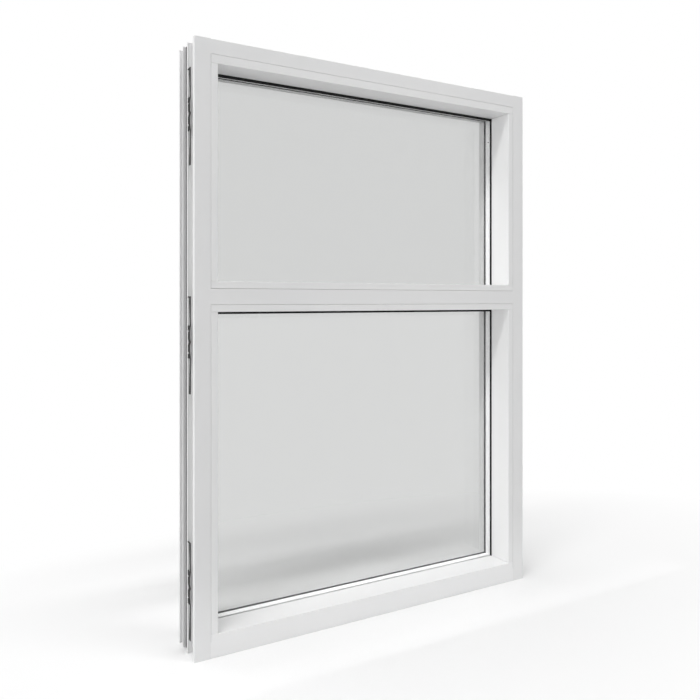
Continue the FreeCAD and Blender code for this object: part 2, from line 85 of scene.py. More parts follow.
# Lens and sensor in millimetres, the shift as a share of the frame's width
CAMERA_LENS = 37.03
SENSOR_WIDTH = 36
CAMERA_SHIFT = -0.0709
NEAREST_SEEN = 0.05


def set_up_camera():
    """A level camera whose frame is shifted down, so that uprights stay parallel."""
    data = bpy.data.cameras.new("camera")
    data.sensor_width = SENSOR_WIDTH
    data.lens = CAMERA_LENS
    data.shift_y = CAMERA_SHIFT
    data.clip_start = NEAREST_SEEN
    camera = bpy.data.objects.new("camera", data)
    camera.location = CAMERA_PLACE
    camera.rotation_euler = (LEVEL, 0, CAMERA_TURN)
    bpy.context.scene.collection.objects.link(camera)
    bpy.context.scene.camera = camera
    return camera


camera = set_up_camera()
print("camera:", camera.location[:], "lens", camera.data.lens)

# %% [markdown]
# ## Helpers for finishes
#
# Every finish here starts from one Principled shader. A noise that is measured in the window's own
# metres drives its colour, its gloss and a shallow relief, so that the grain has its real size on
# every piece and needs no picture. A picture texture could hold the same detail, but it would have
# to be unwrapped on some forty pieces and would blur close up.

# %% Start a finish and put it on


def start_finish(name):
    """An empty finish: its node tree, its shader and the place that patterns are measured from."""
    finish = bpy.data.materials.new(name)
    finish.use_nodes = True
    tree = finish.node_tree
    shader = tree.nodes["Principled BSDF"]
    place = tree.nodes.new("ShaderNodeTexCoord").outputs["Object"]
    return finish, tree, shader, place


def dress(finish, names):
    """Give a finish to pieces of the frame."""
    for name in names:
        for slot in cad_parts[name].material_slots:
            slot.material = finish
    print(finish.name, "on", len(names), "pieces")


print("pieces to dress:", len(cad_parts))

# %% Patterns
# Nearly all of a noise lies between these two values
NOISE_LOW = 0.3
NOISE_HIGH = 0.7


def rescale(tree, place, scale):
    """Measure a place with a scale of its own along each axis."""
    mapping = tree.nodes.new("ShaderNodeMapping")
    mapping.inputs["Scale"].default_value = scale
    tree.links.new(place, mapping.inputs["Vector"])
    return mapping.outputs["Vector"]


def grain(tree, place, per_metre, detail=2.0, scale=None):
    """A noise with so many spots to the metre, packed closer or wider along an axis if asked."""
    noise = tree.nodes.new("ShaderNodeTexNoise")
    noise.inputs["Scale"].default_value = per_metre
    noise.inputs["Detail"].default_value = detail
    if scale:
        place = rescale(tree, place, scale)
    tree.links.new(place, noise.inputs["Vector"])
    return noise.outputs["Fac"]


def spread(tree, value, low, high, start=NOISE_LOW, end=NOISE_HIGH):
    """Stretch a value that runs from start to end, so that it runs from low to high."""
    stretch = tree.nodes.new("ShaderNodeMapRange")
    stretch.inputs["From Min"].default_value = start
    stretch.inputs["From Max"].default_value = end
    stretch.inputs["To Min"].default_value = low
    stretch.inputs["To Max"].default_value = high
    tree.links.new(value, stretch.inputs["Value"])
    return stretch.outputs["Result"]


print("noise is stretched from", NOISE_LOW, "to", NOISE_HIGH)

# %% Colour, gloss and relief
# Where a Mix node keeps its two colours and their blend
FIRST_COLOUR = 6
SECOND_COLOUR = 7
BLENDED_COLOUR = 2


def paint(tree, shader, share, first, second):
    """Colour a shader from one tone to another as the share goes from 0 to 1."""
    mix = tree.nodes.new("ShaderNodeMix")
    mix.data_type = "RGBA"
    tree.links.new(share, mix.inputs["Factor"])
    mix.inputs[FIRST_COLOUR].default_value = (*first, 1)
    mix.inputs[SECOND_COLOUR].default_value = (*second, 1)
    tree.links.new(mix.outputs[BLENDED_COLOUR], shader.inputs["Base Color"])


def polish(tree, shader, place, per_metre, glossiest, dullest, detail=2.0):
    """Let a noise drive the roughness between two values."""
    noise = grain(tree, place, per_metre, detail)
    tree.links.new(spread(tree, noise, glossiest, dullest), shader.inputs["Roughness"])


def emboss(tree, shader, height, depth):
    """Press a pattern into the surface, to a depth in metres."""
    bump = tree.nodes.new("ShaderNodeBump")
    bump.inputs["Distance"].default_value = depth
    tree.links.new(height, bump.inputs["Height"])
    tree.links.new(bump.outputs["Normal"], shader.inputs["Normal"])


# %% [markdown]
# ## White powder coat
#
# The aluminium is sprayed with a dry white powder that is melted on in an oven. It flows almost
# flat, but keeps a faint ripple like the skin of an orange, a millimetre or two from crest to
# crest, and a satin gloss. Flat paint with a mirror coat would look wet, and a rough one would
# look like plaster, so a low relief and a middling roughness do the work. The finish is made
# three times, and two of the copies are paler to paint light. The sill and the bead on it are the
# palest, as painted light from the floor on the sill's face and from above on its top. The other
# beads are a touch lighter than the frame, as painted light on the reveals that their sides form.

# %% Powder coat
MEMBERS = ("left_jamb", "right_jamb", "head", "sill", "transom")
LIGHTS = ("upper", "lower")
SIDES = ("top", "bottom", "left", "right")
EXTRUSIONS = [f"{member}_{part}" for member in MEMBERS for part in ("front", "rear")]
BEADS = [f"{light}_bead_{side}" for light in LIGHTS for side in SIDES]

COAT_IOR = 1.5
RIPPLES_PER_METRE = 650
RIPPLE_DEPTH = 0.012 * MM


def powder_coat(name, tone, shade):
    """Satin white powder coat that drifts between two close tones."""
    finish, tree, shader, place = start_finish(name)
    drift = spread(tree, grain(tree, place, per_metre=5), 0, 1)
    paint(tree, shader, drift, tone, shade)
    polish(tree, shader, place, per_metre=24, detail=4, glossiest=0.36, dullest=0.46)
    shader.inputs["IOR"].default_value = COAT_IOR
    ripple = grain(tree, place, per_metre=RIPPLES_PER_METRE, detail=1)
    emboss(tree, shader, ripple, RIPPLE_DEPTH)
    return finish


frame_white = powder_coat("frame_white", tone=(0.76, 0.76, 0.76), shade=(0.745, 0.747, 0.75))
# A touch lighter than the frame: painted light on the reveals that the beads' sides form
bead_white_painted_light = powder_coat("bead_white_painted_light", tone=(0.775, 0.775, 0.773), shade=(0.76, 0.762, 0.764))
# Palest: painted light from the floor on the sill's face and from above on its top
sill_white_painted_light = powder_coat("sill_white_painted_light", tone=(0.805, 0.805, 0.805), shade=(0.79, 0.792, 0.795))
dress(frame_white, EXTRUSIONS)
dress(bead_white_painted_light, BEADS)
dress(sill_white_painted_light, ["sill_front", "lower_bead_bottom"])
print("ripple:", round(1 / RIPPLES_PER_METRE / MM, 1), "mm from crest to crest")

# %% [markdown]
# ## Insulating bars
#
# Two extrusions of aluminium would carry the cold straight through the frame, so bars of nylon
# filled with glass fibre join them. They are drawn through a die as well, which leaves fine lines
# along their length, and the fibres show as paler specks on the black. The lines could be cut as
# grooves, but they are shallower than a sheet of paper, so a noise that is packed six times closer
# across the bar than along it draws them as a relief.

# %% Insulating bars
NYLON = (0.022, 0.022, 0.023)
GLASS_FIBRE = (0.06, 0.06, 0.06)
# Only the highest spots of the noise become specks of fibre
FIBRE_FROM = 0.62
FIBRE_TO = 0.75
DIE_LINES = (1, 6, 1)
DIE_LINE_DEPTH = 0.03 * MM


def fibre_nylon():
    """Black nylon with fine lines along its length and specks of glass fibre."""
    finish, tree, shader, place = start_finish("insulating_nylon")
    spots = grain(tree, place, per_metre=900, detail=1)
    paint(tree, shader, spread(tree, spots, 0, 1, FIBRE_FROM, FIBRE_TO), NYLON, GLASS_FIBRE)
    polish(tree, shader, place, per_metre=60, glossiest=0.5, dullest=0.65)
    lines = grain(tree, place, per_metre=300, detail=1, scale=DIE_LINES)
    emboss(tree, shader, lines, DIE_LINE_DEPTH)
    return finish


dress(fibre_nylon(), [f"{member}_insulating_bar" for member in MEMBERS])

# %% [markdown]
# ## The two lights
#
# A light is one opening of a window with its glass. Everything that follows sits around one of
# the two, so their edges are read from the frame once: the lines where the beads end and the
# glass starts to show, and the faces of the glass from front to back. Typing the numbers in would
# do as well, until somebody changes the window's size and the gaskets stay behind.

# %% Openings


def read_light(name):
    """Edges of one opening and the faces of its glass."""
    return {
        "name": name,
        "left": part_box(f"{name}_bead_left")[1].x,
        "right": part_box(f"{name}_bead_right")[0].x,
        "foot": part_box(f"{name}_bead_bottom")[1].z,
        "top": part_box(f"{name}_bead_top")[0].z,
        "bead_back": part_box(f"{name}_bead_left")[1].y,
        "glass_front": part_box(f"{name}_front_pane")[0].y,
        "cavity_front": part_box(f"{name}_front_pane")[1].y,
        "cavity_back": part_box(f"{name}_rear_pane")[0].y,
        "glass_back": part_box(f"{name}_rear_pane")[1].y,
        "flange_front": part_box(f"{name}_rear_gasket")[1].y,
    }


lights = [read_light(name) for name in LIGHTS]
for light in lights:
    in_mm = {edge: round(value / MM, 1) for edge, value in light.items() if edge != "name"}
    print(light["name"], in_mm)

# %% [markdown]
# ## Rings with a real section
#
# Gaskets, spacer bars and seals run round an opening and meet at mitred corners, so the same
# helpers serve for all. A ring is given an opening and a section, a list of points that each say
# how far inwards of the opening's edge and how deep they lie. Each point becomes a rectangle, and
# neighbouring rectangles are joined by faces. A curve with a bevel section could do it too, but
# its corners would pinch, and its four sides could not differ.

# %% Ring helpers
SMOOTH_ANGLE = 40


def show_mesh(name, shape, finish, smooth_angle=SMOOTH_ANGLE):
    """Turn a shape into a piece of the window that rides on it."""
    mesh = bpy.data.meshes.new(name)
    bmesh.ops.recalc_face_normals(shape, faces=shape.faces)
    shape.to_mesh(mesh)
    shape.free()
    mesh.materials.append(finish)
    mesh.shade_smooth()
    mesh.set_sharp_from_angle(angle=math.radians(smooth_angle))
    piece = bpy.data.objects.new(name, mesh)
    bpy.context.scene.collection.objects.link(piece)
    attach(piece, "root")
    print(name, "has", len(mesh.polygons), "faces")
    return piece


def opening_corners(light, side_reach, foot_reach, top_reach):
    """Corners of an opening, moved inwards, from the lower left one round to the upper left."""
    left, right = light["left"] + side_reach, light["right"] - side_reach
    foot, top = light["foot"] + foot_reach, light["top"] - top_reach
    return ((left, foot), (right, foot), (right, top), (left, top))


def join_squares(shape, first, second):
    """Join two four-cornered loops by four faces."""
    for corner in range(4):
        after = (corner + 1) % 4
        shape.faces.new((first[corner], first[after], second[after], second[corner]))


def ring(light, section):
    """A closed ring round an opening.

    Each point of the section holds its reach inwards at the sides, the foot and the top, then
    its depth.
    """
    shape = bmesh.new()
    loops = []
    for *reaches, depth in section:
        corners = opening_corners(light, *reaches)
        loops.append([shape.verts.new((x, depth, z)) for x, z in corners])
    for i, loop in enumerate(loops):
        join_squares(shape, loop, loops[(i + 1) % len(loops)])
    return shape


# %% [markdown]
# ## Gaskets
#
# A gasket is pressed in between the bead and the glass, and again between the glass and the
# flange behind it. It is black rubber, so its finish is nearly black with little gloss. Pure black
# would be simpler, but no rubber is quite that dark, and a trace of dust lies on all of it.

# %% Rubber
RUBBER = (0.006, 0.006, 0.0065)
DUST = (0.014, 0.014, 0.014)
DUST_FROM = 0.5
DUST_TO = 0.8
BLACK_GLOSS = 0.2
RUBBER_GRAIN_DEPTH = 0.01 * MM


def rubber():
    """Black rubber with a soft sheen and a trace of dust."""
    finish, tree, shader, place = start_finish("gasket_rubber")
    spots = grain(tree, place, per_metre=40, detail=4)
    paint(tree, shader, spread(tree, spots, 0, 1, DUST_FROM, DUST_TO), RUBBER, DUST)
    polish(tree, shader, place, per_metre=150, glossiest=0.55, dullest=0.68)
    shader.inputs["Specular IOR Level"].default_value = BLACK_GLOSS
    emboss(tree, shader, grain(tree, place, per_metre=1200, detail=1), RUBBER_GRAIN_DEPTH)
    return finish


gasket_rubber = rubber()
print("finish for the gaskets:", gasket_rubber.name)

# %% [markdown]
# A gasket has a soft lip on the glass and a thicker rib beside it, so its edge is two small rounds
# and not a square corner. A plain rectangle would do from afar, but it would not catch the light
# as the rounds do. In front the lip is longest under the top of each light, where it shows as a
# dark line, and at the foot it hides under the lip of the bottom bead.

# %% Gaskets
GASKET_COVER = 6 * MM
# How far a gasket shows past the edge of the opening: at the sides, at the foot and at the top
FRONT_LIPS = (1.4 * MM, -1.4 * MM, 6.5 * MM)
REAR_LIPS = (2.6 * MM, 2.6 * MM, 1.4 * MM)

# Share of the lip's reach, and share of the gasket's thickness from the glass outwards
LIP_ROUNDS = (
    (0.55, 1.0),
    (0.85, 0.97),
    (0.97, 0.88),
    (1.0, 0.74),
    (0.94, 0.60),
    (0.78, 0.52),
    (0.80, 0.46),
    (0.93, 0.38),
    (1.0, 0.22),
    (1.0, 0.0),
)


def add_gasket(light, place, glass_face, seat, lips, finish):
    """One gasket of an opening, from the face of the glass to what presses on it."""
    node = f"{light['name']}_{place}_gasket"
    section = [(-GASKET_COVER,) * 3 + (glass_face,), (-GASKET_COVER,) * 3 + (seat,)]
    for reach, rise in LIP_ROUNDS:
        reaches = [-GASKET_COVER + reach * (GASKET_COVER + lip) for lip in lips]
        section.append((*reaches, glass_face + rise * (seat - glass_face)))
    piece = show_mesh(f"{node}_moulded", ring(light, section), finish)
    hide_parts(node)


for light in lights:
    add_gasket(light, "front", light["glass_front"], light["bead_back"], FRONT_LIPS, gasket_rubber)
    add_gasket(light, "rear", light["glass_back"], light["flange_front"], REAR_LIPS, gasket_rubber)

# %% [markdown]
# ## Spacer bars
#
# The two sheets of glass are kept apart by a bent aluminium bar. Its inner face shows a pressed
# seam along the middle and two rows of tiny slots, through which the drying beads inside reach
# the air. A picture of slots would look flat from the side, so the face is divided into a grid
# and every slot is a real pocket in it.

# %% The face of a spacer bar
SEAM_WIDTH = 1.2 * MM
SEAM_DEPTH = 0.5 * MM
SLOT_PITCH = 8 * MM
SLOT_LENGTH = 2 * MM
SLOT_WIDTH = 0.6 * MM
SLOT_DEPTH = 0.6 * MM
SLOT_OFFSET = 4 * MM
# Which strips of the face, counted from its front edge, hold the slots and the seam
SLOT_STRIPS = (1, 5)
SEAM_STRIP = 3


def strip_edges(front, back):
    """Depths of the edges between the strips of the face."""
    middle = (front + back) / 2
    edges = [front]
    for offset, width in ((-SLOT_OFFSET, SLOT_WIDTH), (0, SEAM_WIDTH), (SLOT_OFFSET, SLOT_WIDTH)):
        edges += [middle + offset - width / 2, middle + offset + width / 2]
    edges.append(back)
    return edges


def slot_marks(length):
    """Marks along one side of the bar: its ends, and between them where each slot starts and ends."""
    count = int((length - SLOT_PITCH) // SLOT_PITCH)
    first = (length - count * SLOT_PITCH) / 2 + (SLOT_PITCH - SLOT_LENGTH) / 2
    marks = [0.0]
    for i in range(count):
        start = first + i * SLOT_PITCH
        marks += [start, start + SLOT_LENGTH]
    marks.append(length)
    return marks


def bar_face(shape, corner, along, inwards, marks, edges):
    """Inner face of one side of the bar: a grid with a sunk seam and two rows of slots."""

    def point(mark, depth, sink=0.0):
        spot = corner + along * mark - inwards * sink
        return shape.verts.new((spot.x, depth, spot.z))

    grid = [[point(mark, depth) for depth in edges] for mark in marks]
    seam_edges = edges[SEAM_STRIP : SEAM_STRIP + 2]
    seam = [[point(mark, depth, SEAM_DEPTH) for depth in seam_edges] for mark in marks]
    for i in range(len(marks) - 1):
        for j in range(len(edges) - 1):
            spots = ((i, j), (i + 1, j), (i + 1, j + 1), (i, j + 1))
            square = [grid[a][b] for a, b in spots]
            if j == SEAM_STRIP:
                near, far = seam[i], seam[i + 1]
                shape.faces.new((near[0], far[0], far[1], near[1]))
                shape.faces.new((square[0], square[1], far[0], near[0]))
                shape.faces.new((near[1], far[1], square[2], square[3]))
            elif j in SLOT_STRIPS and i % 2 == 1:
                sunk = [point(marks[a], edges[b], SLOT_DEPTH) for a, b in spots]
                shape.faces.new(sunk)
                join_squares(shape, square, sunk)
            else:
                shape.faces.new(square)


print("one slot every", round(SLOT_PITCH / MM, 1), "mm")

# %% [markdown]
# The bar itself is mill finish aluminium, rolled along its length, with a pale and milky skin. A
# bar with the full shine of bare metal would mirror the room like chrome, so the finish is only
# partly metallic.

# %% Mill finish
MILLED = (0.95, 0.95, 0.95)
MILLED_SHADE = (0.90, 0.90, 0.905)
PARTLY_METAL = 0.3
ROLLING_LINES = (1, 8, 1)
ROLLING_LINE_DEPTH = 0.01 * MM


def spacer_aluminium():
    """Mill finish aluminium with a pale, milky skin, rolled along its length."""
    finish, tree, shader, place = start_finish("spacer_aluminium")
    drift = spread(tree, grain(tree, place, per_metre=30, detail=4), 0, 1)
    paint(tree, shader, drift, MILLED, MILLED_SHADE)
    shader.inputs["Metallic"].default_value = PARTLY_METAL
    polish(tree, shader, place, per_metre=200, glossiest=0.42, dullest=0.55)
    lines = grain(tree, place, per_metre=500, detail=1, scale=ROLLING_LINES)
    emboss(tree, shader, lines, ROLLING_LINE_DEPTH)
    return finish


spacer_metal = spacer_aluminium()
print("finish for the spacer bars:", spacer_metal.name)

# %% [markdown]
# Now the whole bar. The four sides of its face come first, then one ring of three more faces: two
# that look at the sheets of glass and one that looks at the frame. They could be four separate
# bars, but a bent bar has no joints at its corners, so doubled corners are merged into one.

# %% Spacer bar
SPACER_LIP = 1 * MM
SPACER_HEIGHT = 6.5 * MM
BUTYL = 0.8 * MM
# How far inwards the bar's face and its back lie: at the sides, at the foot and at the top
BAR_INSIDE = (SPACER_LIP,) * 3
BAR_OUTSIDE = (SPACER_LIP - SPACER_HEIGHT,) * 3
DIRECTIONS = (Vector((1, 0, 0)), Vector((0, 0, 1)), Vector((-1, 0, 0)), Vector((0, 0, -1)))
SAME_POINT = 0.02 * MM
BAR_SMOOTH_ANGLE = 30


def add_spacer_bar(light, metal):
    """One bar round an opening, with its slots."""
    front, back = light["cavity_front"] + BUTYL, light["cavity_back"] - BUTYL
    corners = [Vector((x, 0, z)) for x, z in opening_corners(light, *BAR_INSIDE)]
    edges = strip_edges(front, back)
    shape = bmesh.new()
    slots = 0
    for i, corner in enumerate(corners):
        following = (i + 1) % 4
        marks = slot_marks((corners[following] - corner).length)
        bar_face(shape, corner, DIRECTIONS[i], DIRECTIONS[following], marks, edges)
        slots += len(marks) - 2
    outline = ((BAR_INSIDE, front), (BAR_OUTSIDE, front), (BAR_OUTSIDE, back), (BAR_INSIDE, back))
    rows = []
    for reaches, depth in outline:
        rows.append([shape.verts.new((x, depth, z)) for x, z in opening_corners(light, *reaches)])
    for row, following_row in zip(rows, rows[1:]):
        join_squares(shape, row, following_row)
    bmesh.ops.remove_doubles(shape, verts=shape.verts, dist=SAME_POINT)
    bar = show_mesh(f"{light['name']}_spacer_bar", shape, metal, BAR_SMOOTH_ANGLE)
    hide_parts(f"{light['name']}_spacer")
    print(light["name"], "spacer bar:", slots, "slots")


# %% [markdown]
# ## Butyl and putty
#
# A thin black bead of butyl sticks the bar to each sheet of glass, and black putty seals the edge
# behind it. The two could be separate pieces, but they are equally black and nobody sees where
# one ends, so one finish serves for both.

# %% Putty
PUTTY = (0.012, 0.012, 0.012)
PUTTY_LIGHT = (0.024, 0.024, 0.025)
PUTTY_GRAIN_DEPTH = 0.08 * MM


def edge_seal():
    """Black putty that seals the edge of the glass."""
    finish, tree, shader, place = start_finish("edge_seal")
    drift = spread(tree, grain(tree, place, per_metre=90, detail=3), 0, 1)
    paint(tree, shader, drift, PUTTY, PUTTY_LIGHT)
    polish(tree, shader, place, per_metre=110, glossiest=0.45, dullest=0.7)
    emboss(tree, shader, grain(tree, place, per_metre=260, detail=3), PUTTY_GRAIN_DEPTH)
    return finish


putty_black = edge_seal()
print("finish for butyl and putty:", putty_black.name)

# %% [markdown]
# Butyl and putty are one trough that holds the bar. Before the bar it is lower at the foot, where
# the bar's pale side shows above it. Each light gets its bar first and the trough round it next.

# %% Bars and seals
SPACER_BITE = 12 * MM
SEAL_DROP = 0.4 * MM
SEAL_FOOT_DROP = 2.8 * MM


def add_edge_seal(light, putty):
    """The trough of butyl and putty round one opening."""
    front, back = light["cavity_front"], light["cavity_back"]
    bar_front, bar_back = front + BUTYL, back - BUTYL
    outside = (-SPACER_BITE,) * 3
    front_edge = (SPACER_LIP - SEAL_DROP, SPACER_LIP - SEAL_FOOT_DROP, SPACER_LIP - SEAL_DROP)
    back_edge = (SPACER_LIP - SEAL_DROP,) * 3
    section = (
        (*outside, front),
        (*front_edge, front),
        (*front_edge, bar_front),
        (*BAR_OUTSIDE, bar_front),
        (*BAR_OUTSIDE, bar_back),
        (*back_edge, bar_back),
        (*back_edge, back),
        (*outside, back),
    )
    seal = show_mesh(f"{light['name']}_edge_seal", ring(light, section), putty)
    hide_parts(f"{light['name']}_spacer")


for light in lights:
    add_spacer_bar(light, spacer_metal)
    add_edge_seal(light, putty_black)

# %% [markdown]
# ## Glass
#
# Float glass is clear, and the inner side of the rear sheet carries an invisible metal coat that
# holds back some of the sun, so what is seen through the unit is a little greyer than through
# clear glass alone. Real sheets let lamps through, so the panes throw no shadow: the shader bends
# and mirrors what is seen, and the lamps are not blocked. A see-through shader without any bending
# would be faster, but the spacer would then stand a few millimetres too deep.

# %% Glass
CLEAR_GLASS = (0.965, 0.969, 0.967)
COATED_GLASS = (0.665, 0.668, 0.666)
GLASS_IOR = 1.5
# Faint smears show only where the noise is high, and wiping has drawn them out upwards
SMEAR_FROM = 0.45
SMEAR_TO = 0.75
SMEAR_ROUGHNESS = 0.012
WIPED_UPWARDS = (1, 1, 0.5)


def float_glass(name, tint):
    """Float glass with faint smears from wiping."""
    finish, tree, shader, place = start_finish(name)
    shader.inputs["Base Color"].default_value = (*tint, 1)
    shader.inputs["Transmission Weight"].default_value = 1
    shader.inputs["IOR"].default_value = GLASS_IOR
    wiping = grain(tree, place, per_metre=3, detail=3, scale=WIPED_UPWARDS)
    smears = spread(tree, wiping, 0, SMEAR_ROUGHNESS, SMEAR_FROM, SMEAR_TO)
    tree.links.new(smears, shader.inputs["Roughness"])
    return finish


for sheet, tint in (("front", CLEAR_GLASS), ("rear", COATED_GLASS)):
    panes = [f"{light}_{sheet}_pane" for light in LIGHTS]
    dress(float_glass(f"{sheet}_glass", tint), panes)
    for pane in panes:
        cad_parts[pane].visible_shadow = False

# %% [markdown]
# ## Setting blocks
#
# The glass must not touch the metal of the frame, or it would crack when the frame warms up. It
# stands on hard black plastic blocks. They are in deep shadow, so a plain moulded plastic with a
# fine grain is all that they need, and more detail would never be seen.

# %% Setting blocks
PLASTIC = (0.03, 0.03, 0.03)
PLASTIC_LIGHT = (0.045, 0.045, 0.045)
PLASTIC_GRAIN_DEPTH = 0.02 * MM


def hard_plastic():
    """Moulded black plastic."""
    finish, tree, shader, place = start_finish("block_plastic")
    drift = spread(tree, grain(tree, place, per_metre=70), 0, 1)
    paint(tree, shader, drift, PLASTIC, PLASTIC_LIGHT)
    polish(tree, shader, place, per_metre=120, glossiest=0.4, dullest=0.55)
    emboss(tree, shader, grain(tree, place, per_metre=700, detail=1), PLASTIC_GRAIN_DEPTH)
    return finish


block_plastic = hard_plastic()
dress(block_plastic, [f"{light}_setting_blocks" for light in LIGHTS])

# %% [markdown]
# ## Anchors
#
# Steel straps clipped on the frame's outer fin tie it to the wall. They are near-black: partly
# their dark coat and partly painted shade for the deep shadow in their slots and in the channel
# round them. The bent parts that rub on the fin show a little bare steel where the coat has worn.
# Scratches cut into the mesh would be thousands of faces, so a long, thin noise is cut off sharply
# instead, and where it is high it turns the coat into metal.

# %% Anchors
LEVELS = ("lower", "middle", "upper")
ANCHORS = [f"{side}_{level}_anchor" for side in ("left", "right") for level in LEVELS]
# Near-black: the straps' dark coat, and painted shade for the deep shadow in their slots and channel
BLACK_COAT_AND_SHADE = (0.007, 0.007, 0.0075)
WORN_STEEL = (0.16, 0.16, 0.165)
WORN_METALLIC = 0.8
SCRATCH_FROM = 0.68
SCRATCH_TO = 0.74
SCRATCHED_UPWARDS = (1, 1, 0.25)
COAT_GRAIN_DEPTH = 0.03 * MM


def worn_black_steel_and_shade():
    """Black coat over steel, partly painted shade, worn through in small scratches."""
    finish, tree, shader, place = start_finish("anchor_black_and_shade")
    rubbing = grain(tree, place, per_metre=160, detail=6, scale=SCRATCHED_UPWARDS)
    scratches = spread(tree, rubbing, 0, 1, SCRATCH_FROM, SCRATCH_TO)
    paint(tree, shader, scratches, BLACK_COAT_AND_SHADE, WORN_STEEL)
    metal = spread(tree, scratches, 0, WORN_METALLIC, start=0, end=1)
    tree.links.new(metal, shader.inputs["Metallic"])
    polish(tree, shader, place, per_metre=90, glossiest=0.42, dullest=0.6)
    shader.inputs["Specular IOR Level"].default_value = BLACK_GLOSS
    emboss(tree, shader, grain(tree, place, per_metre=400, detail=3), COAT_GRAIN_DEPTH)
    return finish


dress(worn_black_steel_and_shade(), ANCHORS)

# %% [markdown]
# ## The gas plug
#
# The space between the sheets is filled with a dry gas through a hole in the spacer bar, and the
# hole is shut with a small black plug. It stands near the top of the upper light's right side. A
# squat cone with a few dozen sides is enough for a thing a few millimetres wide.

# %% Gas plug
PLUG_HEIGHT = 1302 * MM
PLUG_RADIUS = 1.8 * MM
PLUG_TIP_RADIUS = 0.75 * PLUG_RADIUS
PLUG_RISE = 0.8 * MM
PLUG_BEFORE_SEAM = 2.2 * MM
PLUG_SIDES = 32


def add_gas_plug(light, finish):
    """A squat plug on the inner face of the bar at the right of a light."""
    seam = (light["cavity_front"] + light["cavity_back"]) / 2
    shape = bmesh.new()
    bmesh.ops.create_cone(
        shape,
        cap_ends=True,
        segments=PLUG_SIDES,
        radius1=PLUG_RADIUS,
        radius2=PLUG_TIP_RADIUS,
        depth=PLUG_RISE,
    )
    towards_opening = Matrix.Rotation(math.radians(-90), 3, "Y")
    bmesh.ops.rotate(shape, verts=shape.verts, matrix=towards_opening)
    middle = (light["right"] - SPACER_LIP - PLUG_RISE / 2, seam - PLUG_BEFORE_SEAM, PLUG_HEIGHT)
    bmesh.ops.translate(shape, verts=shape.verts, vec=middle)
    show_mesh(f"{light['name']}_gas_plug", shape, finish)


add_gas_plug(lights[LIGHTS.index("upper")], block_plastic)
print("the gas plug is", round(2 * PLUG_RADIUS / MM, 1), "mm wide")

# %% [markdown]
# ## Soft edges
#
# No real edge is a perfect corner: extruded aluminium leaves the die with a radius of a few
# tenths of a millimetre, and paint rounds it further. A bevel modifier adds that round where two
# faces meet at a steep angle, and leaves the solids themselves as they are.

# %% Soft edges
FRAME_ROUND = 0.4 * MM
BEAD_ROUND = 0.3 * MM
ANCHOR_ROUND = 0.25 * MM
ROUND_STEPS = 2
STEEP_ANGLE = math.radians(40)


def soften(names, width):
    """Round the sharp edges of pieces of the frame."""
    for name in names:
        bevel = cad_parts[name].modifiers.new("soft_edges", "BEVEL")
        bevel.width = width
        bevel.segments = ROUND_STEPS
        bevel.limit_method = "ANGLE"
        bevel.angle_limit = STEEP_ANGLE
        bevel.harden_normals = True
    print(len(names), "pieces rounded by", round(width / MM, 2), "mm")


soften(EXTRUSIONS, FRAME_ROUND)
soften(BEADS, BEAD_ROUND)
soften(ANCHORS, ANCHOR_ROUND)

# %% [markdown]
# ## Floor
#
# The window stands on a plain pale floor in a white studio. Not far from it the floor fades to
# plain white, so that it meets the white backdrop without a line. A large white room would do
# this too, but it would need strong lamps to look white. Here the floor only looks white to the
# camera, in glass and in gloss, and it sends no more light to the window than a pale floor does.

# %% What is seen straight, and what is mirrored


def combine(tree, operation, first, second):
    """Join two numbers by one sum, product or comparison."""
    maths = tree.nodes.new("ShaderNodeMath")
    maths.operation = operation
    tree.links.new(first, maths.inputs[0])
    tree.links.new(second, maths.inputs[1])
    return maths.outputs[0]


def ray_kinds(tree):
    """1 for what the camera sees, straight or through glass, and 1 for what gloss mirrors."""
    rays = tree.nodes.new("ShaderNodeLightPath").outputs
    seen = combine(tree, "MAXIMUM", rays["Is Camera Ray"], rays["Is Transmission Ray"])
    return seen, rays["Is Glossy Ray"]


# %% Floor paint
FLOOR_TONE = (0.86, 0.86, 0.86)
FLOOR_SHADE = (0.84, 0.84, 0.84)
FLOOR_ROUGHNESS = 0.9
# The floor fades from one distance to the other; along the width distances count as half
FLOOR_FADE = (0.25, 0.9)
FLOOR_SQUEEZE = (0.5, 1, 1)


def fading_finish():
    """A pale floor paint that fades to white away from the window."""
    finish, tree, shader, place = start_finish("floor_pale")
    speck = spread(tree, grain(tree, place, per_metre=300), 0, 1)
    paint(tree, shader, speck, FLOOR_TONE, FLOOR_SHADE)
    shader.inputs["Roughness"].default_value = FLOOR_ROUGHNESS
    shader.inputs["Specular IOR Level"].default_value = 0
    distance = tree.nodes.new("ShaderNodeVectorMath")
    distance.operation = "LENGTH"
    tree.links.new(rescale(tree, place, FLOOR_SQUEEZE), distance.inputs[0])
    away = spread(tree, distance.outputs["Value"], 0, 1, *FLOOR_FADE)
    seen, mirrored = ray_kinds(tree)
    shown = combine(tree, "MAXIMUM", seen, mirrored)
    white = tree.nodes.new("ShaderNodeEmission")
    white.inputs["Strength"].default_value = 1
    mix = tree.nodes.new("ShaderNodeMixShader")
    tree.links.new(combine(tree, "MULTIPLY", away, shown), mix.inputs["Fac"])
    tree.links.new(shader.outputs["BSDF"], mix.inputs[1])
    tree.links.new(white.outputs["Emission"], mix.inputs[2])
    output = tree.nodes["Material Output"]
    tree.links.new(mix.outputs["Shader"], output.inputs["Surface"])
    return finish


print("the floor fades from", FLOOR_FADE[0], "to", FLOOR_FADE[1], "m")

# %% Floor
FLOOR_HALF = 30


def add_floor():
    """A wide square of floor under the window."""
    mesh = bpy.data.meshes.new("floor")
    signs = ((-1, -1), (1, -1), (1, 1), (-1, 1))
    mesh.from_pydata([(x * FLOOR_HALF, y * FLOOR_HALF, 0) for x, y in signs], [], [(0, 1, 2, 3)])
    floor = bpy.data.objects.new("floor", mesh)
    bpy.context.scene.collection.objects.link(floor)
    mesh.materials.append(fading_finish())
    print("floor:", 2 * FLOOR_HALF, "m square")


bpy.context.scene.view_settings.view_transform = "Standard"
add_floor()

